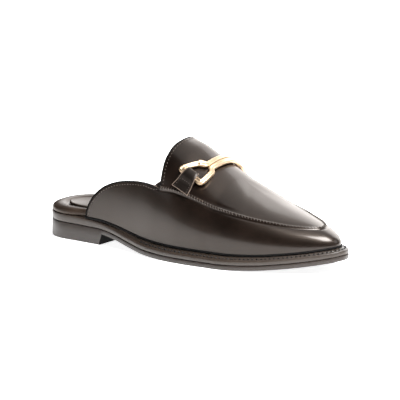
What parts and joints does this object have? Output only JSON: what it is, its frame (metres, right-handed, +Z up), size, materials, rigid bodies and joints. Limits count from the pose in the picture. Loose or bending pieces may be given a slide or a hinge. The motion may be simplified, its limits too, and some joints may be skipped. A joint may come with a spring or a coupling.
{
  "type": "flat mule",
  "caption": "Right-foot backless loafer mule in polished black leather with an apron seam, a high tongue and a gold snaffle bit.",
  "frame": {"origin": "centre of the heel's flat underside, on the floor", "axes": "+X towards the toe, +Y towards the medial (inner) side, +Z up from the floor"},
  "size_m": [0.2647, 0.0923, 0.0866],
  "materials": {
    "upper_leather": "polished",
    "sole_rubber": "satin",
    "gold_metal": "polished"
  },
  "bodies": {
    "root": {"outsole": "sole_rubber", "heel": "sole_rubber", "welt": "sole_rubber", "insole": "upper_leather", "sock_pad": "upper_leather", "upper": "upper_leather", "tab_lateral": "upper_leather", "tab_medial": "upper_leather", "bit": "gold_metal"}
  },
  "joints": []
}
